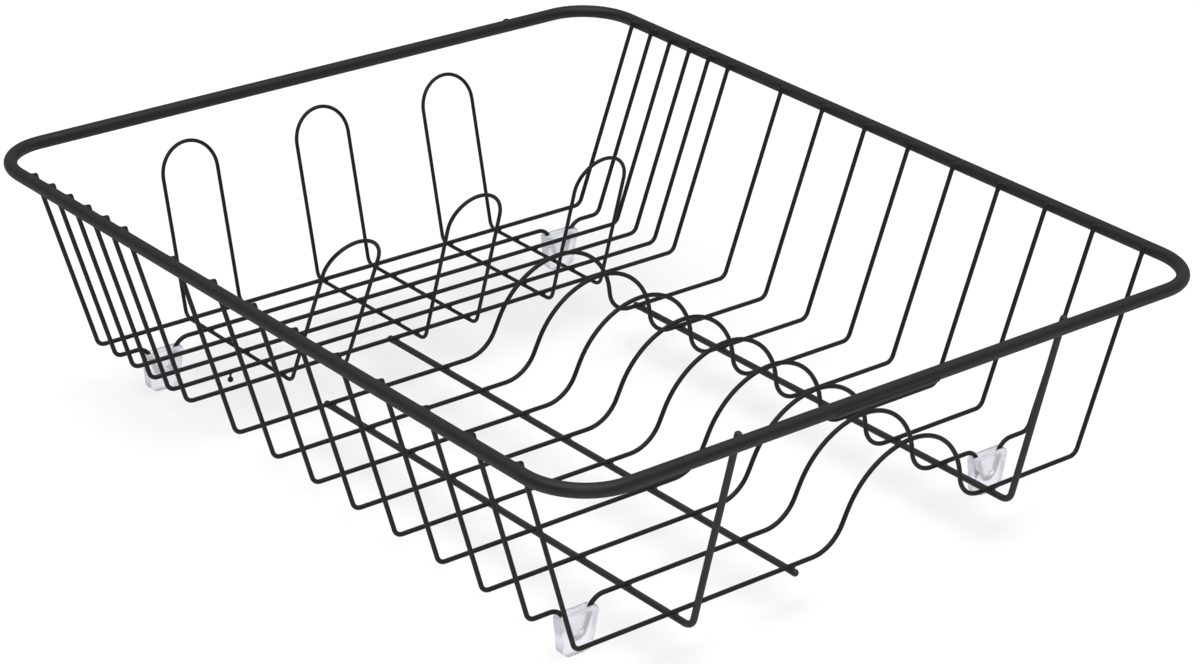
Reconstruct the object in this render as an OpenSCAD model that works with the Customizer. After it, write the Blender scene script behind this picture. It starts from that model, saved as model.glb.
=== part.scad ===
/* [Rim] */
// Length of the rack over the rim
rim_length = 460; // [380:1:560]
// Width of the rack over the rim
rim_width = 400; // [370:1:490]
// Diameter of the rim rod
rim_d = 6.7; // [5:0.1:9]
// Radius of the rim's corners, to the middle of the rod
corner_r = 30; // [20:1:60]
// Height of the rim's centre above the middle of the floor wires
basket_depth = 100; // [80:1:140]
// Length of the strap that covers the rim's butt joint
strap_length = 64; // [40:1:90]
// Thickness of the strap
strap_t = 1.2; // [0.8:0.1:2]
// How far the strap's middle lies off the rack's centre line
strap_offset = -18.5; // [-60:0.5:60]

/* [Cross wires] */
// Diameter of the cross wires
wire_d = 2.3; // [1.6:0.1:3]
// Distance between the two floor corners of a cross wire
floor_width = 317; // [290:1:350]
// Bend radius at the floor corners
floor_bend_r = 5; // [4:0.5:10]
// How far the outer cross wires stand in from the middle of the end rims
end_setback = 38; // [34:0.5:45]
// Spacing of the close wires in the cup bay
cup_pitch = 15.9; // [12:0.1:18]
// Gap between the cup bay's last wire and the first plate wire
bay_gap = 42; // [34:0.5:50]
// How far a wire's tip stands above the rim's centre
tip_rise = 1.4; // [1:0.1:4]

/* [Plate humps] */
// Height of the humps above the floor wires
hump_h = 43.3; // [38:0.1:52]
// Radius of the hump's long slope where it leaves the floor
rise_foot_r = 19.5; // [14:0.5:24]
// Radius of the hump's back, up to its crest
rise_back_r = 43; // [36:0.5:45]
// Steepest angle of the hump's long slope
rise_angle = 66; // [55:1:75]
// Radius of the hump's front, down from its crest
fall_front_r = 35; // [28:0.5:40]
// Radius of the hump's short slope where it meets the floor
fall_foot_r = 14.5; // [10:0.5:18]
// Level stretch between the hump and the side rod's middle
hump_to_rod = 9.1; // [6:0.1:14]

/* [Cup loops] */
// Diameter of the cup loops' wire
loop_d = 2.0; // [1.5:0.1:2.6]
// Distance between the two legs of a loop
loop_width = 33.4; // [28:0.2:38]
// Height of the tall arches above the floor wires
tall_h = 84; // [70:0.2:95]
// Height of the short arches above the floor wires
short_h = 81; // [60:0.2:95]
// Outward lean of the tall arches
tall_lean = 15.8; // [5:0.1:18]
// Inward lean of the short arches, one value for each loop
short_leans = [21, 14, 13]; // [5:0.5:25]
// Bend radius where the legs turn into the rails
loop_bend_r = 5; // [4:0.5:8]
// How far a loop's corners stand out past the cup bay's end wires
loop_overhang = 6.8; // [5.5:0.1:8]

/* [Floor rods] */
// Diameter of the floor rods
rod_d = 3.3; // [2.4:0.1:4]
// Bend radius where a side rod turns up to the rim
rod_bend_r = 6; // [5:0.5:12]
// How far the side rods' corners stand in from the middle of the end rim
rod_setback = 26.5; // [22:0.5:32]
// How far a rod's end stands out past the wire it ends at
rod_overhang = 5; // [2.5:0.1:8]
// Distance from the middle rod to the start of the humps
rod_to_hump = 12.6; // [8:0.1:20]
// Distance from a side rod to the middle of a foot
rod_to_foot = 30.3; // [28:0.1:36]

/* [Feet] */
// How far the middle of a foot stands in from the floor corner
foot_inset = 27.5; // [24:0.5:32]
// Height of a foot
foot_h = 21.5; // [20:0.5:30]
// Gap between a foot's top and the middle of the floor wires
foot_drop = 3.6; // [2.8:0.1:4.4]
// Width of a foot at its top
foot_top_w = 22; // [21.5:0.5:28]
// Width of a foot across its bottom corners
foot_bottom_w = 17.5; // [15:0.5:20]
// Thickness of a foot along the rack
foot_t = 7.8; // [6.5:0.1:10]
// Radius of a foot's bottom corners
foot_corner_r = 4.5; // [3:0.5:6]
// Depth of the wire's dip into a foot
dip_h = 17.5; // [15:0.5:18.5]
// Radius at the top of the dip
dip_top_r = 8.5; // [6.5:0.5:9.5]
// Radius at the bottom of the dip
dip_bottom_r = 4.5; // [3.5:0.1:6]
// Steepest angle of the dip's legs
dip_angle = 70; // [62:1:76]
// Clearance around the wire inside a foot
foot_clear = 0.05; // [0.02:0.01:0.2]
// Diameter of the peg that the dip hooks under
peg_d = 5; // [3:0.2:6]

/* [Hidden] */
$fn = 48;
cup_wires = 6;
plate_wires = 9;
loops = 3;
// The cup wire and the plate wire that stand on the feet
cup_foot_wire = 2;
plate_foot_wire = 8;

floor_z = foot_h + foot_drop;
rim_z = floor_z + basket_depth;
rim_x = (rim_length - rim_d) / 2;
rim_y = (rim_width - rim_d) / 2;
rod_z = floor_z - (wire_d + rod_d) / 2;
rail_z = floor_z - (wire_d + loop_d) / 2;

// Extra diameter of the ball that closes each joint of a run
knuckle = 0.04;

// Cross wires along the rack
last_plate_x = rim_x - end_setback;
first_cup_x = -last_plate_x;
last_cup_x = first_cup_x + (cup_wires - 1) * cup_pitch;
first_plate_x = last_cup_x + bay_gap;
plate_pitch = (last_plate_x - first_plate_x) / (plate_wires - 1);
function cup_x(i) = first_cup_x + (i - 1) * cup_pitch;
function plate_x(i) = first_plate_x + (i - 1) * plate_pitch;

// Everything across the rack hangs on the floor corners
foot_y = floor_width / 2 - foot_inset;
side_rod_y = foot_y - rod_to_foot;
loop_spacing = side_rod_y - loop_width / 2;

// A hump's two sides, each two arcs with a straight between them where there is one
fall_angle = acos(1 - hump_h / (fall_front_r + fall_foot_r));
rise_line = slope_line(hump_h, rise_foot_r + rise_back_r, rise_angle);
rise_span = slope_span(hump_h, rise_foot_r + rise_back_r, rise_angle);
fall_span = (fall_front_r + fall_foot_r) * sin(fall_angle);
hump_end_y = side_rod_y - hump_to_rod;
crest_y = hump_end_y - fall_span;
hump_start_y = crest_y - rise_span;
middle_rod_y = hump_start_y - rod_to_hump;

// A dip's legs
dip_line = slope_line(dip_h, dip_top_r + dip_bottom_r, dip_angle);
dip_span = slope_span(dip_h, dip_top_r + dip_bottom_r, dip_angle);
// Height of the middle of the dip's bottom bend
peg_z = floor_z - dip_h + dip_bottom_r;

// Straight length of a slope of height h between two arcs whose radii add up to r
function slope_line(h, r, angle) = (h - r * (1 - cos(angle))) / sin(angle);
// Ground that the same slope covers
function slope_span(h, r, angle) = r * sin(angle) + slope_line(h, r, angle) * cos(angle);
// Straight length that a bend takes from each of the two lines it joins
function bend_take(r, angle) = r * tan(angle / 2);
// Lean from upright of a wire that starts inset from the rim's middle and passes its inner side
function lean_to_rim(inset, rise, reach) = atan(inset / rise) - asin(reach / norm([inset, rise]));

wire_lean = lean_to_rim(rim_y - floor_width / 2, basket_depth, (rim_d + wire_d) / 2);
wire_riser = (basket_depth + tip_rise) / cos(wire_lean);
wire_take = bend_take(floor_bend_r, 90 - wire_lean);
rod_rise = rim_z - rod_z;
rod_lean = lean_to_rim(rod_setback, rod_rise, (rim_d + rod_d) / 2);
rod_riser = (rod_rise + tip_rise) / cos(rod_lean);
rod_take = bend_take(rod_bend_r, 90 - rod_lean);

// Steps of a wire's run: straight lengths, and bends that turn it up or down
function line(length) = ["line", length];
function bend(r, angle) = ["bend", r, angle];
function dip() = [
    bend(dip_top_r, -dip_angle), line(dip_line), bend(dip_bottom_r, 2 * dip_angle),
    line(dip_line), bend(dip_top_r, -dip_angle)
];
function hump() = [
    bend(rise_foot_r, rise_angle), line(rise_line), bend(rise_back_r, -rise_angle),
    bend(fall_front_r, -fall_angle), bend(fall_foot_r, fall_angle)
];
function side_in() = [line(wire_riser - wire_take), bend(floor_bend_r, 90 - wire_lean)];
function side_out() = [bend(floor_bend_r, 90 - wire_lean), line(wire_riser - wire_take)];

corner_y = floor_width / 2 - wire_take;
flat_floor = [line(2 * corner_y)];
footed_floor = concat(
    [line(corner_y - foot_y - dip_span)], dip(), [line(2 * (foot_y - dip_span))], dip(),
    [line(corner_y - foot_y - dip_span)]
);
humped_floor = concat([line(hump_start_y + corner_y)], hump(), [line(corner_y - hump_end_y)]);
footed_hump_floor = concat(
    [line(corner_y - foot_y - dip_span)], dip(), [line(hump_start_y + foot_y - dip_span)], hump(),
    [line(foot_y - dip_span - hump_end_y)], dip(), [line(corner_y - foot_y - dip_span)]
);

// Draws the run from the origin along +X, turning towards +Z, and the children at its end.
// A ball at each joint, a hair thicker than the wire, makes the pieces one solid.
module run(d, steps, i = 0) {
    rotate([0, 90, 0]) sphere(d = d + knuckle);
    if (i == len(steps)) {
        children();
    } else if (steps[i][0] == "line") {
        rotate([0, 90, 0]) cylinder(d = d, h = steps[i][1]);
        translate([steps[i][1], 0, 0]) run(d, steps, i + 1) children();
    } else {
        r = steps[i][1];
        angle = abs(steps[i][2]);
        up = sign(steps[i][2]);
        mirror([0, 0, up < 0 ? 1 : 0])
            translate([0, 0, r]) rotate([90, 90, 0]) rotate_extrude(angle = angle)
                translate([r, 0]) circle(d = d);
        translate([0, 0, up * r]) rotate([0, -up * angle, 0]) translate([0, 0, -up * r])
            run(d, steps, i + 1) children();
    }
}

// Straight piece of the rim with its length along +X and a joint ball at each end
module rim_side(length) {
    rotate([0, 90, 0]) cylinder(d = rim_d, h = length, center = true);
    for (end = [-1, 1])
        translate([end * length / 2, 0, 0]) rotate([0, 90, 0]) sphere(d = rim_d + knuckle);
}

// Closed rounded rectangle of thick rod
module rim() {
    straight_x = rim_x - corner_r;
    straight_y = rim_y - corner_r;
    color([0.09, 0.09, 0.09]) translate([0, 0, rim_z]) {
        for (side = [-1, 1]) {
            translate([0, side * rim_y, 0]) rim_side(2 * straight_x);
            translate([side * rim_x, 0, 0]) rotate([0, 0, 90]) rim_side(2 * straight_y);
        }
        for (turn = [0:3]) {
            x = turn == 0 || turn == 3 ? straight_x : -straight_x;
            y = turn < 2 ? straight_y : -straight_y;
            translate([x, y, 0]) rotate([0, 0, 90 * turn]) rotate_extrude(angle = 90)
                translate([corner_r, 0]) circle(d = rim_d);
        }
    }
}

// Shallow saddle under the rim that covers its butt joint
module rim_strap() {
    reach = rim_d / 2 + strap_t;
    color([0.08, 0.08, 0.08]) translate([rim_x, strap_offset, rim_z]) rotate([90, 0, 0])
        linear_extrude(strap_length, center = true)
            difference() {
                circle(r = reach);
                circle(d = rim_d);
                translate([-reach, -reach / 2]) square([2 * reach, 2 * reach]);
            }
}

// One cross wire, bent in the plane across the rack, with rounded tips inside the rim
module cross_wire(x, floor_steps) {
    tip_y = floor_width / 2 + wire_riser * sin(wire_lean);
    color([0.09, 0.09, 0.09]) translate([x, -tip_y, rim_z + tip_rise]) rotate([0, 0, 90])
        rotate([0, 90 - wire_lean, 0])
            run(wire_d, concat(side_in(), floor_steps, side_out()));
}

module cup_wire(i) {
    cross_wire(cup_x(i), i == cup_foot_wire ? footed_floor : flat_floor);
}

module plate_wire(i) {
    cross_wire(plate_x(i), i == plate_foot_wire ? footed_hump_floor : humped_floor);
}

// Half ring that joins two legs, from the origin to the leg beside it, bulging towards +X
module arch() {
    translate([0, loop_width / 2, 0]) rotate([0, 0, -90]) rotate_extrude(angle = 180)
        translate([loop_width / 2, 0]) circle(d = loop_d);
}

// A closed wire with a tall arch outside the cup bay and a short one inside it
module cup_loop(i) {
    short_lean = short_leans[i - 1];
    base_h = floor_z - rail_z;
    tall_leg = (tall_h + base_h) / cos(tall_lean) - loop_width / 2;
    short_leg = (short_h + base_h) / cos(short_lean) - loop_width / 2;
    tall_take = bend_take(loop_bend_r, 90 - tall_lean);
    short_take = bend_take(loop_bend_r, 90 - short_lean);
    outer_x = first_cup_x - loop_overhang;
    inner_x = last_cup_x + loop_overhang;
    steps = [
        line(tall_leg - tall_take), bend(loop_bend_r, 90 - tall_lean),
        line(inner_x - outer_x - tall_take - short_take), bend(loop_bend_r, 90 - short_lean),
        line(short_leg - short_take)
    ];
    color([0.09, 0.09, 0.09])
        translate([outer_x, (i - 2) * loop_spacing - loop_width / 2, rail_z])
            rotate([0, 90 - tall_lean, 0]) translate([-tall_leg, 0, 0]) {
                mirror([1, 0, 0]) arch();
                run(loop_d, steps) arch();
                translate([0, loop_width, 0]) run(loop_d, steps);
            }
}

// A side rod under the plate wires, turned up to the end rim
module side_rod(y) {
    start_x = first_plate_x - rod_overhang;
    steps = [
        line(rim_x - rod_setback - start_x - rod_take), bend(rod_bend_r, 90 - rod_lean),
        line(rod_riser - rod_take)
    ];
    color([0.09, 0.09, 0.09]) translate([start_x, y, rod_z]) run(rod_d, steps);
}

module left_floor_rod() {
    side_rod(-side_rod_y);
}

module right_floor_rod() {
    side_rod(side_rod_y);
}

// The straight middle rod, from the cup bay's last wire to the last plate wire
module middle_floor_rod() {
    start_x = last_cup_x - rod_overhang;
    color([0.09, 0.09, 0.09]) translate([start_x, middle_rod_y, rod_z])
        run(rod_d, [line(last_plate_x - start_x + wire_d)]);
}

// Outline of a foot seen along the rack: straight sides down to two round corners
module foot_outline() {
    corner_x = foot_bottom_w / 2 - foot_corner_r;
    shoulder = [foot_top_w / 2 - corner_x, foot_h - foot_corner_r];
    tangent = atan2(shoulder.y, shoulder.x) - acos(foot_corner_r / norm(shoulder));
    side = [
        corner_x + foot_corner_r * cos(tangent), foot_corner_r * (1 + sin(tangent))
    ];
    polygon([
        [-foot_top_w / 2, foot_h], [foot_top_w / 2, foot_h], side, [corner_x, 0],
        [-corner_x, 0], [-side.x, side.y]
    ]);
    for (turn = [-1, 1]) translate([turn * corner_x, foot_corner_r]) circle(r = foot_corner_r);
}

// Outline of the slot between the dip's legs, open at the top
module slot_outline() {
    reach = dip_bottom_r + wire_d / 2 + foot_clear;
    side = [reach * sin(dip_angle), peg_z - reach * cos(dip_angle)];
    top_z = foot_h + 1;
    top_x = side.x + (top_z - side.y) / tan(dip_angle);
    translate([0, peg_z]) circle(r = reach);
    polygon([[-side.x, side.y], [side.x, side.y], [top_x, top_z], [-top_x, top_z]]);
}

// A clear shoe that grips the dip of a cross wire between its two walls
module foot(x, y) {
    slot = wire_d + 2 * foot_clear;
    color([0.82, 0.85, 0.92, 0.5]) translate([x, y, 0]) rotate([90, 0, 90]) {
        difference() {
            linear_extrude(foot_t, center = true) foot_outline();
            linear_extrude(slot, center = true) slot_outline();
            translate([-dip_span, floor_z, 0]) rotate([-90, 0, 0])
                run(slot, dip());
        }
        translate([0, peg_z, 0]) cylinder(d = peg_d, h = slot, center = true);
    }
}

rim();
rim_strap();
for (i = [1:cup_wires]) cup_wire(i);
for (i = [1:plate_wires]) plate_wire(i);
for (i = [1:loops]) cup_loop(i);
left_floor_rod();
middle_floor_rod();
right_floor_rod();
foot(cup_x(cup_foot_wire), -foot_y);  // foot_1
foot(cup_x(cup_foot_wire), foot_y);  // foot_2
foot(plate_x(plate_foot_wire), -foot_y);  // foot_3
foot(plate_x(plate_foot_wire), foot_y);  // foot_4
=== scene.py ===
import math

import bmesh
import bpy
import numpy as np
from mathutils import Matrix, Vector


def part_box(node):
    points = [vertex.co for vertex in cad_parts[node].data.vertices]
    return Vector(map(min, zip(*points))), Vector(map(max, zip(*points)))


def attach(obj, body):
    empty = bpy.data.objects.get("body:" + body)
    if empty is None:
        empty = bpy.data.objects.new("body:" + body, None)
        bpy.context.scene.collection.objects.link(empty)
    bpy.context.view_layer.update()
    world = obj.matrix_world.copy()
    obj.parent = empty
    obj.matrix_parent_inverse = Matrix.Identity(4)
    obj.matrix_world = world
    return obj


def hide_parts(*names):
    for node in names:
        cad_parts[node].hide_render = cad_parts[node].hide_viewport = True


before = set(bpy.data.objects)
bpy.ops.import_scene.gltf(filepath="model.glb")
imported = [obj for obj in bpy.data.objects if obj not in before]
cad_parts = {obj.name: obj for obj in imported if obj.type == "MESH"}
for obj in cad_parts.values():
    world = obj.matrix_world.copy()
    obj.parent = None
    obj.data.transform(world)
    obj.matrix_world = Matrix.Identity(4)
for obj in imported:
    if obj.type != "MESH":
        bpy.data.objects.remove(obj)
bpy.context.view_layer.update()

# ---------------------------------------------------------------------------
# Camera. The rack is seen from above its plate end, over the low front corner,
# through a long lens, with the camera tipped very slightly to one side.
camera_data = bpy.data.cameras.new("camera")
camera_data.sensor_width = 36.0
camera_data.lens = 104.27
camera_data.clip_start = 0.05
camera_data.clip_end = 60.0
camera = bpy.data.objects.new("camera", camera_data)
bpy.context.scene.collection.objects.link(camera)
bpy.context.scene.camera = camera
camera.location = (1.17304, -1.01219, 0.78890)
looks_at = Vector((-0.00632, 0.01853, 0.05431))
tip_sideways = 0.04292
ahead = (looks_at - camera.location).normalized()
level = ahead.cross(Vector((0, 0, 1))).normalized()
upright = level.cross(ahead)
camera_right = level * math.cos(tip_sideways) + upright * math.sin(tip_sideways)
camera_up = upright * math.cos(tip_sideways) - level * math.sin(tip_sideways)
camera.rotation_mode = "QUATERNION"
camera_axes = Matrix((camera_right, camera_up, -ahead)).transposed()
camera.rotation_quaternion = camera_axes.to_quaternion()

# ---------------------------------------------------------------------------
# Studio. A plain white table under one wide overhead softbox and a soft fill,
# bright enough that the thin wires throw no shadow worth seeing.
bpy.context.scene.view_settings.view_transform = "Standard"
bpy.context.scene.view_settings.look = "None"

table_finish = bpy.data.materials.new("white_table")
table_finish.use_nodes = True
table_shader = table_finish.node_tree.nodes["Principled BSDF"]
table_shader.inputs["Base Color"].default_value = (0.9, 0.9, 0.9, 1)
table_shader.inputs["Roughness"].default_value = 0.9
table_shader.inputs["Specular IOR Level"].default_value = 0.0

bpy.ops.mesh.primitive_circle_add(vertices=96, radius=9.0, fill_type="NGON", location=(0, 0, 0))
table = bpy.context.object
table.name = "table"
table.data.materials.append(table_finish)

studio_air = bpy.data.worlds.new("studio_air")
studio_air.use_nodes = True
bpy.context.scene.world = studio_air
air = studio_air.node_tree.nodes["Background"]
air.inputs["Color"].default_value = (1.0, 1.0, 1.0, 1)
air.inputs["Strength"].default_value = 0.55


def softbox(name, place, aim, size, power):
    light = bpy.data.lights.new(name, "AREA")
    light.shape = "RECTANGLE"
    light.size, light.size_y = size
    light.energy = power
    lamp = bpy.data.objects.new(name, light)
    bpy.context.scene.collection.objects.link(lamp)
    lamp.location = place
    lamp.rotation_mode = "QUATERNION"
    lamp.rotation_quaternion = (Vector(aim) - Vector(place)).to_track_quat("-Z", "Y")


softbox("overhead_softbox", (0.35, -0.25, 2.4), (0, 0, 0), (3.4, 2.8), 62)
softbox("side_softbox", (1.9, -1.2, 1.2), (0, 0, 0.05), (1.4, 1.0), 6)

# ---------------------------------------------------------------------------
# Rim. A thick steel rod bent to a rounded rectangle, welded under its strap and
# dipped in black nylon. The dip leaves a soft orange peel and a slow gloss drift.
RIM_R = 0.00335


def coating_skin():
    """Black dip: fine orange peel, a slow drift of gloss, a painted highlight on upward faces and a
    little dust.
    """
    group = bpy.data.node_groups.new("coating_skin", "ShaderNodeTree")
    face = group.interface
    # The second colour is the lighter tone for both real dust and a painted highlight on upward faces;
    # the last input sets how strong that painted highlight is.
    for name, kind, value in (
        ("Colour", "NodeSocketColor", (0.01, 0.01, 0.01, 1)),
        ("Dust And Sheen Colour", "NodeSocketColor", (0.03, 0.03, 0.03, 1)),
        ("Roughness", "NodeSocketFloat", 0.4),
        ("Gloss Drift", "NodeSocketFloat", 0.1),
        ("Peel Size", "NodeSocketFloat", 900.0),
        ("Top Sheen Strength", "NodeSocketFloat", 0.3),
    ):
        socket = face.new_socket(name=name, in_out="INPUT", socket_type=kind)
        socket.default_value = value
    face.new_socket(name="Colour", in_out="OUTPUT", socket_type="NodeSocketColor")
    face.new_socket(name="Roughness", in_out="OUTPUT", socket_type="NodeSocketFloat")
    face.new_socket(name="Height", in_out="OUTPUT", socket_type="NodeSocketFloat")
    node, link = group.nodes.new, group.links.new
    given, made = node("NodeGroupInput"), node("NodeGroupOutput")
    place = node("ShaderNodeTexCoord")

    peel = node("ShaderNodeTexNoise")
    peel.inputs["Detail"].default_value = 2.0
    peel.inputs["Roughness"].default_value = 0.45
    link(place.outputs["Object"], peel.inputs["Vector"])
    link(given.outputs["Peel Size"], peel.inputs["Scale"])

    drift = node("ShaderNodeTexNoise")
    drift.inputs["Scale"].default_value = 34.0
    drift.inputs["Detail"].default_value = 3.0
    link(place.outputs["Object"], drift.inputs["Vector"])

    specks = node("ShaderNodeTexNoise")
    specks.inputs["Scale"].default_value = 2600.0
    specks.inputs["Detail"].default_value = 1.0
    link(place.outputs["Object"], specks.inputs["Vector"])
    dust = node("ShaderNodeMapRange")
    dust.inputs["From Min"].default_value = 0.62
    dust.inputs["From Max"].default_value = 0.74
    link(specks.outputs["Fac"], dust.inputs["Value"])

    surface = node("ShaderNodeNewGeometry")
    facing = node("ShaderNodeSeparateXYZ")
    link(surface.outputs["Normal"], facing.inputs["Vector"])
    # Painted highlight: faces turned up are lifted to the lighter colour in drifting patches, as if
    # lit from above.
    upper = node("ShaderNodeMapRange")
    upper.inputs["From Min"].default_value = 0.55
    upper.inputs["From Max"].default_value = 1.0
    link(facing.outputs["Z"], upper.inputs["Value"])
    top_sheen_patches = node("ShaderNodeMath")
    top_sheen_patches.operation = "MULTIPLY"
    link(upper.outputs["Result"], top_sheen_patches.inputs[0])
    link(drift.outputs["Fac"], top_sheen_patches.inputs[1])
    dust_and_sheen_lift = node("ShaderNodeMath")
    dust_and_sheen_lift.operation = "MULTIPLY"
    link(top_sheen_patches.outputs["Value"], dust_and_sheen_lift.inputs[0])
    link(given.outputs["Top Sheen Strength"], dust_and_sheen_lift.inputs[1])
    # The colour mix is real dust specks plus that painted top highlight.
    dust_and_sheen_mix = node("ShaderNodeMath")
    dust_and_sheen_mix.operation = "MULTIPLY_ADD"
    dust_and_sheen_mix.use_clamp = True
    dust_and_sheen_mix.inputs[1].default_value = 0.25
    link(dust.outputs["Result"], dust_and_sheen_mix.inputs[0])
    link(dust_and_sheen_lift.outputs["Value"], dust_and_sheen_mix.inputs[2])

    colour = node("ShaderNodeMix")
    colour.data_type = "RGBA"
    link(dust_and_sheen_mix.outputs["Value"], colour.inputs["Factor"])
    link(given.outputs["Colour"], colour.inputs["A"])
    link(given.outputs["Dust And Sheen Colour"], colour.inputs["B"])
    link(colour.outputs["Result"], made.inputs["Colour"])

    centred = node("ShaderNodeMath")
    centred.operation = "SUBTRACT"
    centred.inputs[1].default_value = 0.5
    link(drift.outputs["Fac"], centred.inputs[0])
    swing = node("ShaderNodeMath")
    swing.operation = "MULTIPLY_ADD"
    link(centred.outputs["Value"], swing.inputs[0])
    link(given.outputs["Gloss Drift"], swing.inputs[1])
    link(given.outputs["Roughness"], swing.inputs[2])
    gloss = node("ShaderNodeMath")
    gloss.operation = "MULTIPLY_ADD"
    gloss.inputs[1].default_value = 0.12
    link(dust.outputs["Result"], gloss.inputs[0])
    link(swing.outputs["Value"], gloss.inputs[2])
    link(gloss.outputs["Value"], made.inputs["Roughness"])

    relief = node("ShaderNodeMath")
    relief.operation = "MULTIPLY_ADD"
    relief.inputs[1].default_value = 0.6
    link(drift.outputs["Fac"], relief.inputs[0])
    link(peel.outputs["Fac"], relief.inputs[2])
    link(relief.outputs["Value"], made.inputs["Height"])
    return group


SKIN = coating_skin()


def dipped_finish(name, colour, dust_and_sheen_lift, roughness, drift, peel, top_sheen_strength, shine, bump):
    """One coating out of the shared skin, duller where it turns away."""
    finish = bpy.data.materials.new(name)
    finish.use_nodes = True
    tree = finish.node_tree
    shader = tree.nodes["Principled BSDF"]
    skin = tree.nodes.new("ShaderNodeGroup")
    skin.node_tree = SKIN
    skin.inputs["Colour"].default_value = (*colour, 1)
    # The second colour is the lighter tone for dust and for the painted highlight on upward faces.
    skin.inputs["Dust And Sheen Colour"].default_value = (*dust_and_sheen_lift, 1)
    skin.inputs["Roughness"].default_value = roughness
    skin.inputs["Gloss Drift"].default_value = drift
    skin.inputs["Peel Size"].default_value = peel
    skin.inputs["Top Sheen Strength"].default_value = top_sheen_strength
    raised = tree.nodes.new("ShaderNodeBump")
    raised.inputs["Strength"].default_value = 0.5
    raised.inputs["Distance"].default_value = bump
    tree.links.new(skin.outputs["Colour"], shader.inputs["Base Color"])
    tree.links.new(skin.outputs["Height"], raised.inputs["Height"])
    tree.links.new(raised.outputs["Normal"], shader.inputs["Normal"])
    shader.inputs["IOR"].default_value = 1.5
    shader.inputs["Specular IOR Level"].default_value = shine
    turned_away = tree.nodes.new("ShaderNodeLayerWeight")
    turned_away.inputs["Blend"].default_value = 0.5
    dulling = tree.nodes.new("ShaderNodeMath")
    dulling.operation = "MULTIPLY_ADD"
    dulling.use_clamp = True
    dulling.inputs[1].default_value = 0.45
    tree.links.new(turned_away.outputs["Facing"], dulling.inputs[0])
    tree.links.new(skin.outputs["Roughness"], dulling.inputs[2])
    tree.links.new(dulling.outputs["Value"], shader.inputs["Roughness"])
    return finish


def dress(node_name, finish):
    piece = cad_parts[node_name]
    piece.data.materials.clear()
    piece.data.materials.append(finish)
    for face in piece.data.polygons:
        face.material_index = 0
    return piece


# Second colour: dust tone and painted top highlight; the highlight's strength is set below.
rim_finish = dipped_finish(
    "rim_coating", (0.0068, 0.0068, 0.0062), (0.017, 0.017, 0.016),
    roughness=0.34, drift=0.16, peel=700.0, top_sheen_strength=0.5, shine=0.27, bump=0.00006,
)
dress("rim", rim_finish)
rim_low, rim_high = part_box("rim")
RIM_X = rim_high.x - RIM_R
RIM_Y = rim_high.y - RIM_R
RIM_Z = (rim_low.z + rim_high.z) / 2

# ---------------------------------------------------------------------------
# Strap. A short steel saddle that sleeves the rim's butt joint from below; the
# dip has rounded its edges.
strap_low, strap_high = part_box("rim_strap")
STRAP_LENGTH = strap_high.y - strap_low.y
SWELL = strap_high.x - rim_high.x
SUNK = 0.00015
OVER = SWELL + 0.00025
INSIDE = 0.0006
END_FEATHER, SIDE_FEATHER = 0.07, 0.45


def saddle_point(share_along, turn, outer):
    """Full thickness in the middle, feathering out to the rim at the sides and at both ends."""
    along = 1 - (2 * share_along - 1) ** 2
    end_fade = min(1.0, along / END_FEATHER)
    side_fade = min(1.0, math.cos(turn) / SIDE_FEATHER)
    grown = math.sqrt(max(end_fade * side_fade, 0.0))
    radius = RIM_R - SUNK + OVER * grown if outer else RIM_R - INSIDE
    y = strap_low.y + STRAP_LENGTH * share_along
    return radius * math.sin(turn), y, -radius * math.cos(turn)


def skinned(rings):
    """Faces of a closed form through rings of equal count, with both ends capped."""
    count, last = len(rings[0]), len(rings) - 1
    faces = []
    for ring in range(last):
        for k in range(count):
            a, b = ring * count + k, ring * count + (k + 1) % count
            faces.append((a, b, b + count, a + count))
    faces.append(tuple(range(count))[::-1])
    faces.append(tuple(range(last * count, (last + 1) * count)))
    return faces


saddle_rows = []
saddle_turns = np.linspace(-math.pi / 2, math.pi / 2, 25)
for share in (1 - np.cos(np.linspace(0, math.pi, 49))) / 2:
    outside_row = [saddle_point(share, turn, True) for turn in saddle_turns]
    inside_row = [saddle_point(share, turn, False) for turn in saddle_turns[::-1]]
    saddle_rows.append(outside_row + inside_row)
saddle_mesh = bpy.data.meshes.new("joint_saddle")
saddle_points = [point for row in saddle_rows for point in row]
saddle_mesh.from_pydata(saddle_points, [], skinned(saddle_rows))
for face in saddle_mesh.polygons:
    face.use_smooth = True
saddle_mesh.materials.append(rim_finish)
saddle = bpy.data.objects.new("joint_saddle", saddle_mesh)
bpy.context.scene.collection.objects.link(saddle)
saddle.location = (RIM_X, 0, RIM_Z)
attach(saddle, "root")
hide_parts("rim_strap")

# ---------------------------------------------------------------------------
# Cross wires. Six close ones under the cups and nine under the plates, each one
# bent wire that runs up both sides and ends in a bare-cut, coated tip inside the rim.
WIRE_R = 0.00115
FLOOR_HALF = 0.1585
CUP_WIRES = [f"cup_wire_{i}" for i in range(1, 7)]
PLATE_WIRES = [f"plate_wire_{i}" for i in range(1, 10)]

# Second colour: dust tone and painted top highlight; the highlight's strength is set below.
wire_finish = dipped_finish(
    "wire_coating", (0.0045, 0.0045, 0.0042), (0.012, 0.012, 0.0115),
    roughness=0.36, drift=0.18, peel=1100.0, top_sheen_strength=0.45, shine=0.22, bump=0.00004,
)
for node_name in CUP_WIRES + PLATE_WIRES:
    dress(node_name, wire_finish)

wire_x = {}
for node_name in CUP_WIRES + PLATE_WIRES:
    low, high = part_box(node_name)
    wire_x[node_name] = (low.x + high.x) / 2
flat_low, flat_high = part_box("cup_wire_1")
BALL_R = (flat_high.x - flat_low.x) / 2
FLOOR_Z = flat_low.z + BALL_R
TIP_Z = flat_high.z - BALL_R
TIP_Y = flat_high.y - BALL_R


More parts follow.
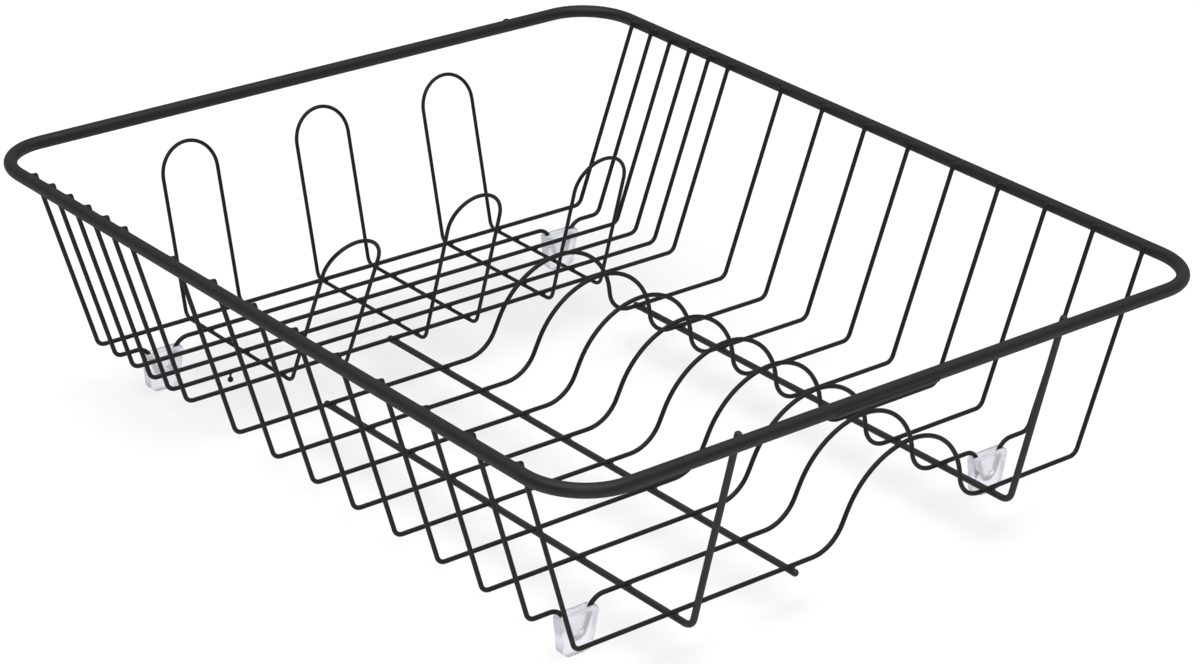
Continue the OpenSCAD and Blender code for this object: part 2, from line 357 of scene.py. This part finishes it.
def joined(name, shapes, finish):
    points, faces, start = [], [], 0
    for shape_points, shape_faces in shapes:
        points.append(np.asarray(shape_points, float))
        faces += [[i + start for i in face] for face in shape_faces]
        start += len(shape_points)
    mesh = bpy.data.meshes.new(name)
    mesh.from_pydata(np.vstack(points).tolist(), [], faces)
    mesh.materials.append(finish)
    for face in mesh.polygons:
        face.use_smooth = True
    piece = bpy.data.objects.new(name, mesh)
    bpy.context.scene.collection.objects.link(piece)
    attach(piece, "root")
    return piece


def turned(profile, sides=20):
    """A round form about Z from (height, radius) pairs, closed at both ends."""
    turns = [2 * math.pi * k / sides for k in range(sides)]
    rings = [[(radius * math.cos(turn), radius * math.sin(turn), height) for turn in turns]
             for height, radius in profile]
    return np.array([point for ring in rings for point in ring]), skinned(rings)


def stood(shape, place, along):
    points, faces = shape
    turn = np.array(Vector((0, 0, 1)).rotation_difference(Vector(along)).to_matrix())
    return points @ turn.T + np.array(place), faces


BEAD_SWELL = 0.00014


def tip_bead(radius, extra):
    """The dip's fat end: it starts under the wire's skin, swells a little and closes round."""
    swell = radius + extra
    profile = [(-3.2 * radius, radius * 0.96), (-2.4 * radius, radius + extra * 0.25)]
    profile += [(-1.6 * radius, radius + extra * 0.7), (-0.9 * radius, swell)]
    for step in range(0, 9):
        turn = math.radians(10 * step)
        profile.append((swell * 0.92 * math.sin(turn), swell * math.cos(turn)))
    return turned(profile)


riser = Vector((0, TIP_Y - FLOOR_HALF, TIP_Z - FLOOR_Z)).normalized()
tips = []
for node_name in CUP_WIRES + PLATE_WIRES:
    for side in (-1, 1):
        along = (0, side * riser.y, riser.z)
        place = (wire_x[node_name], side * TIP_Y, TIP_Z)
        tips.append(stood(tip_bead(WIRE_R, BEAD_SWELL), place, along))
joined("wire_tips", tips, wire_finish)

# ---------------------------------------------------------------------------
# Weld webs. Wherever two wires are spot-welded the dip draws into the corner
# between them and sets as a small saddle-shaped web.
HAIR = 0.00002
sphere = bmesh.new()
bmesh.ops.create_icosphere(sphere, subdivisions=4, radius=1.0)
BALL_POINTS = np.array([vertex.co[:] for vertex in sphere.verts])
BALL_FACES = [tuple(vertex.index for vertex in face.verts) for face in sphere.faces]
sphere.free()


def round_wire(direction, middle, radius, back=1.0, on=1.0):
    """A straight wire through middle that ends round, back and on from there along its direction."""
    return np.array(direction, float), np.array(middle, float), radius, back, on


def web(touch, wire_a, wire_b, reach, fillet):
    """The skin of two wires melted together, as far as reach from the point where they touch.
    Away from the corner it lies a hair under the wires' own skin."""
    touch = np.array(touch, float)
    spans = np.linspace(0.0, reach, 56)
    at = touch + BALL_POINTS[:, None, :] * spans[None, :, None]

    def outside(direction, middle, radius, back, on):
        away = at - middle
        along = np.clip(away @ direction, -back, on)[..., None] * direction
        return np.linalg.norm(away - along, axis=-1) - radius

    gap_a, gap_b = outside(*wire_a), outside(*wire_b)
    blend = np.maximum(fillet - np.abs(gap_a - gap_b), 0.0) / fillet
    skin = np.minimum(gap_a, gap_b) - blend * blend * fillet / 4 + HAIR
    leaves = (skin > 0).argmax(axis=1)
    never = ~(skin > 0).any(axis=1)
    leaves[never] = len(spans) - 1
    leaves = np.maximum(leaves, 1)
    rows = np.arange(len(leaves))
    before, after = skin[rows, leaves - 1], skin[rows, leaves]
    fall = np.where(before == after, 1.0, before - after)
    share = np.clip(np.where(never, 1.0, before / fall), 0, 1)
    length = spans[leaves - 1] + (spans[leaves] - spans[leaves - 1]) * share
    return touch + BALL_POINTS * length[:, None], BALL_FACES


def floor_web(wire_name, y, under_r, reach, fillet, back=1.0, on=1.0):
    x = wire_x[wire_name]
    over = round_wire((0, 1, 0), (x, y, FLOOR_Z), WIRE_R)
    under = round_wire((1, 0, 0), (x, y, FLOOR_Z - WIRE_R - under_r), under_r, back, on)
    return web((x, y, FLOOR_Z - WIRE_R), over, under, reach, fillet)


rim_webs = []
for node_name in CUP_WIRES + PLATE_WIRES:
    for side in (-1, 1):
        inward = np.array((0, -side * riser.z, riser.y))
        rim_mid = np.array((wire_x[node_name], side * RIM_Y, RIM_Z))
        wire_mid = rim_mid + inward * (RIM_R + WIRE_R)
        upward = np.array((0, side * riser.y, riser.z))
        to_tip = float((np.array((wire_mid[0], side * TIP_Y, TIP_Z)) - wire_mid) @ upward)
        rim_webs.append(web(
            rim_mid + inward * RIM_R,
            round_wire(upward, wire_mid, WIRE_R, on=to_tip),
            round_wire((1, 0, 0), rim_mid, RIM_R),
            reach=0.0056, fillet=0.0024,
        ))
joined("rim_weld_webs", rim_webs, wire_finish)

# ---------------------------------------------------------------------------
# Cup loops. Three closed wires welded under the cup bay, each with a tall arch
# outside and a shorter one inside, to stand cups and glasses over.
LOOP_R = 0.001
loop_webs = []
for i in range(1, 4):
    dress(f"cup_loop_{i}", wire_finish)
    low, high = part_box(f"cup_loop_{i}")
    middle = (low.y + high.y) / 2
    half = (high.y - low.y) / 2 - LOOP_R
    for rail in (-1, 1):
        for node_name in CUP_WIRES:
            rail_y = middle + rail * half
            loop_webs.append(floor_web(node_name, rail_y, LOOP_R, reach=0.0036, fillet=0.0013))
joined("loop_weld_webs", loop_webs, wire_finish)

# ---------------------------------------------------------------------------
# Floor rods. Two thick rods run under the plate wires and turn up to the end
# rim; a straight one ties the plate wires to the cup bay.
ROD_R = 0.00165
ROD_SETBACK = 0.0265
# Second colour: dust tone and painted top highlight; the highlight's strength is set below.
rod_finish = dipped_finish(
    "rod_coating", (0.008, 0.008, 0.0085), (0.019, 0.019, 0.020),
    roughness=0.38, drift=0.16, peel=950.0, top_sheen_strength=0.4, shine=0.34, bump=0.00005,
)
rod_webs, rod_ends = [], []
for node_name in ("left_floor_rod", "middle_floor_rod", "right_floor_rod"):
    dress(node_name, rod_finish)
    low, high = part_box(node_name)
    y = (low.y + high.y) / 2
    crossed = PLATE_WIRES + (["cup_wire_6"] if node_name == "middle_floor_rod" else [])
    rod_ball = (high.y - low.y) / 2
    rod_z = low.z + rod_ball
    ends = [((low.x + rod_ball, y, rod_z), (-1, 0, 0))]
    if node_name == "middle_floor_rod":
        ends.append(((high.x - rod_ball, y, rod_z), (1, 0, 0)))
    else:
        rise = RIM_Z - rod_z
        slope = math.atan(ROD_SETBACK / rise)
        lean = slope - math.asin((RIM_R + ROD_R) / math.hypot(ROD_SETBACK, rise))
        up = np.array((math.sin(lean), 0, math.cos(lean)))
        tip = np.array((high.x - rod_ball, y, high.z - rod_ball))
        ends.append((tip, up))
        inward = np.array((-up[2], 0, up[0]))
        rim_mid = np.array((RIM_X, y, RIM_Z))
        rod_mid = rim_mid + inward * (RIM_R + ROD_R)
        rod_webs.append(web(
            rim_mid + inward * RIM_R,
            round_wire(up, rod_mid, ROD_R, on=float((tip - rod_mid) @ up)),
            round_wire((0, 1, 0), rim_mid, RIM_R),
            reach=0.0056, fillet=0.0017,
        ))
    rod_ends += [stood(tip_bead(ROD_R, BEAD_SWELL), place, along) for place, along in ends]
    for wire_name in crossed:
        back = wire_x[wire_name] - ends[0][0][0]
        on = ends[1][0][0] - wire_x[wire_name] if node_name == "middle_floor_rod" else 1.0
        rod_webs.append(floor_web(wire_name, y, ROD_R, 0.0044, 0.0015, back, on))
joined("rod_weld_webs", rod_webs, rod_finish)
joined("rod_ends", rod_ends, rod_finish)

# ---------------------------------------------------------------------------
# Drips. One drop of the dip hangs under a cup wire where it ran off, and one
# pimple has set on top of the far rim.
drop = [(-0.0046, 0.00008), (-0.0045, 0.0006), (-0.0042, 0.0011), (-0.0036, 0.00142)]
drop += [(-0.0030, 0.00146), (-0.0024, 0.00128), (-0.0019, 0.0009), (-0.0015, 0.00055)]
drop += [(-0.0010, 0.00048), (-0.0004, 0.0007), (0.0003, 0.00085)]
hanging = stood(turned(drop), (wire_x["cup_wire_5"], -0.122, FLOOR_Z - WIRE_R), (0, 0, 1))
joined("hanging_drip", [hanging], wire_finish)
pimple = [(-0.0016, 0.0024), (-0.0006, 0.0023), (0.0001, 0.0019)]
pimple += [(0.0005, 0.0013), (0.0008, 0.0007), (0.0009, 0.0001)]
lump = stood(turned(pimple), (-RIM_X, 0.133, RIM_Z + RIM_R), (0, 0, 1))
joined("rim_pimple", [lump], rim_finish)

# ---------------------------------------------------------------------------
# Feet. Four clear moulded shoes, each a pair of walls that close round the V of
# a cross wire; a peg between the walls sits in the bend and keeps the shoe on.
SHOE_H, SHOE_TOP, SHOE_BOTTOM, SHOE_T = 0.0215, 0.022, 0.0175, 0.0078
SHOE_CORNER, SLOT_T = 0.0045, 0.0025
BEND_Z, BEND_R = 0.0121, 0.0056
LEG = math.radians(70)
EDGE_ROUND, TOP_ROUND = 0.0017, 0.0012
PEG_R, CORE_R, CORE_DEPTH = 0.0025, 0.0016, 0.0021

clear_finish = bpy.data.materials.new("clear_shoe")
clear_finish.use_nodes = True
clear_tree = clear_finish.node_tree
clear_shader = clear_tree.nodes["Principled BSDF"]
mould_place = clear_tree.nodes.new("ShaderNodeTexCoord")
haze = clear_tree.nodes.new("ShaderNodeTexNoise")
haze.inputs["Scale"].default_value = 260.0
haze.inputs["Detail"].default_value = 2.0
clear_tree.links.new(mould_place.outputs["Object"], haze.inputs["Vector"])
haze_range = clear_tree.nodes.new("ShaderNodeMapRange")
haze_range.inputs["To Min"].default_value = 0.10
haze_range.inputs["To Max"].default_value = 0.20
clear_tree.links.new(haze.outputs["Fac"], haze_range.inputs["Value"])
clear_tree.links.new(haze_range.outputs["Result"], clear_shader.inputs["Roughness"])
# Painted shade: the base colour turns from clear white to grey-lavender where the surface turns away,
# painting the dark internal reflections along the shoe's edges.
grazing_weight = clear_tree.nodes.new("ShaderNodeLayerWeight")
grazing_weight.inputs["Blend"].default_value = 0.5
painted_edge_shade = clear_tree.nodes.new("ShaderNodeMapRange")
painted_edge_shade.interpolation_type = "SMOOTHSTEP"
painted_edge_shade.inputs["From Min"].default_value = 0.35
painted_edge_shade.inputs["From Max"].default_value = 0.95
clear_tree.links.new(grazing_weight.outputs["Facing"], painted_edge_shade.inputs["Value"])
clear_and_edge_shade = clear_tree.nodes.new("ShaderNodeMix")
clear_and_edge_shade.data_type = "RGBA"
clear_and_edge_shade.inputs["A"].default_value = (0.955, 0.965, 1.0, 1)
clear_and_edge_shade.inputs["B"].default_value = (0.42, 0.43, 0.60, 1)
clear_tree.links.new(painted_edge_shade.outputs["Result"], clear_and_edge_shade.inputs["Factor"])
clear_tree.links.new(clear_and_edge_shade.outputs["Result"], clear_shader.inputs["Base Color"])
shade_ray = clear_tree.nodes.new("ShaderNodeLightPath")
let_through = clear_tree.nodes.new("ShaderNodeMath")
let_through.operation = "MULTIPLY_ADD"
let_through.inputs[1].default_value = -0.9
let_through.inputs[2].default_value = 1.0
clear_tree.links.new(shade_ray.outputs["Is Shadow Ray"], let_through.inputs[0])
clear_tree.links.new(let_through.outputs["Value"], clear_shader.inputs["Alpha"])
clear_shader.inputs["IOR"].default_value = 1.34
clear_shader.inputs["Transmission Weight"].default_value = 0.70
clear_shader.inputs["Specular IOR Level"].default_value = 0.35


def shoe_outline(inset, corner_steps=10):
    """The shoe seen along the rack: a level top, leaning sides and two round bottom corners."""
    top, bottom, height = SHOE_TOP / 2 - inset, SHOE_BOTTOM / 2 - inset, SHOE_H - inset
    corner = SHOE_CORNER - inset
    corner_y, corner_z = bottom - corner, inset + corner
    to_top = Vector((top - corner_y, height - corner_z))
    first = math.atan2(to_top.y, to_top.x) - math.acos(corner / to_top.length)
    side = [(corner_y + corner * math.cos(turn), corner_z + corner * math.sin(turn))
            for turn in np.linspace(-math.pi / 2, first, corner_steps)]
    side += [(top - TOP_ROUND * (1 - math.sin(turn)), height - TOP_ROUND * (1 - math.cos(turn)))
             for turn in np.linspace(math.pi / 2, 0, 5)]
    return side + [(-y, z) for y, z in side[::-1]]


def solid_through(rings, name):
    """A closed mesh through rings of equal count, each ring a list of points."""
    mesh = bpy.data.meshes.new(name)
    mesh.from_pydata([point for ring in rings for point in ring], [], skinned(rings))
    solid = bmesh.new()
    solid.from_mesh(mesh)
    bmesh.ops.recalc_face_normals(solid, faces=solid.faces)
    solid.to_mesh(mesh)
    solid.free()
    piece = bpy.data.objects.new(name, mesh)
    bpy.context.scene.collection.objects.link(piece)
    return piece


def slab(outline, x_low, x_high, name):
    return solid_through([[(x, y, z) for y, z in outline] for x in (x_low, x_high)], name)


def bore(radius, sides=32):
    """A round outline about the middle of the bend."""
    turns = np.linspace(0, 2 * math.pi, sides + 1)[:-1]
    return [(radius * math.cos(turn), BEND_Z + radius * math.sin(turn)) for turn in turns]


def moulded_shoe():
    """Body with rounded edges, less the wire's slot, plus the peg, less the core hole in each wall."""
    half = SHOE_T / 2
    stations = [(-half + EDGE_ROUND * (1 - math.cos(turn)), EDGE_ROUND * (1 - math.sin(turn)))
                for turn in np.linspace(math.radians(12), math.pi / 2, 6)]
    stations += [(-x, inset) for x, inset in stations[::-1]]
    layers = [[(x, y, z) for y, z in shoe_outline(inset)] for x, inset in stations]
    body = solid_through(layers, "shoe")
    side = (BEND_R * math.sin(LEG), BEND_Z - BEND_R * math.cos(LEG))
    bend = [(BEND_R * math.cos(turn), BEND_Z + BEND_R * math.sin(turn))
            for turn in np.linspace(math.radians(-160), math.radians(-20), 17)]
    opening = [(-0.0108, SHOE_H + 0.002), (-0.0099, SHOE_H - 0.001)]
    opening.append((-side[0] - 0.0012, side[1] + 0.0035))
    opening = opening + bend + [(-y, z) for y, z in opening[::-1]]
    slot = slab(opening, -SLOT_T / 2, SLOT_T / 2, "slot")
    peg = slab(bore(PEG_R), -SLOT_T / 2 - 0.0004, SLOT_T / 2 + 0.0004, "peg")
    cores = [
        slab(bore(CORE_R), -half - 0.001, -half + CORE_DEPTH, "core_low"),
        slab(bore(CORE_R), half - CORE_DEPTH, half + 0.001, "core_high"),
    ]
    steps = [(slot, "DIFFERENCE"), (peg, "UNION")] + [(core, "DIFFERENCE") for core in cores]
    for cutter, how in steps:
        step = body.modifiers.new(cutter.name, "BOOLEAN")
        step.operation, step.object, step.solver = how, cutter, "EXACT"
    bpy.context.view_layer.update()
    finished = body.evaluated_get(bpy.context.evaluated_depsgraph_get())
    mesh = bpy.data.meshes.new_from_object(finished)
    for used in [body, slot, peg, *cores]:
        bpy.data.objects.remove(used)
    for face in mesh.polygons:
        face.use_smooth = True
    mesh.set_sharp_from_angle(angle=math.radians(32))
    mesh.materials.clear()
    mesh.materials.append(clear_finish)
    return mesh


shoe_mesh = moulded_shoe()
for i in range(1, 5):
    low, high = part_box(f"foot_{i}")
    shoe = bpy.data.objects.new(f"shoe_{i}", shoe_mesh.copy())
    bpy.context.scene.collection.objects.link(shoe)
    shoe.location = ((low.x + high.x) / 2, (low.y + high.y) / 2, low.z)
    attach(shoe, "root")
    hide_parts(f"foot_{i}")
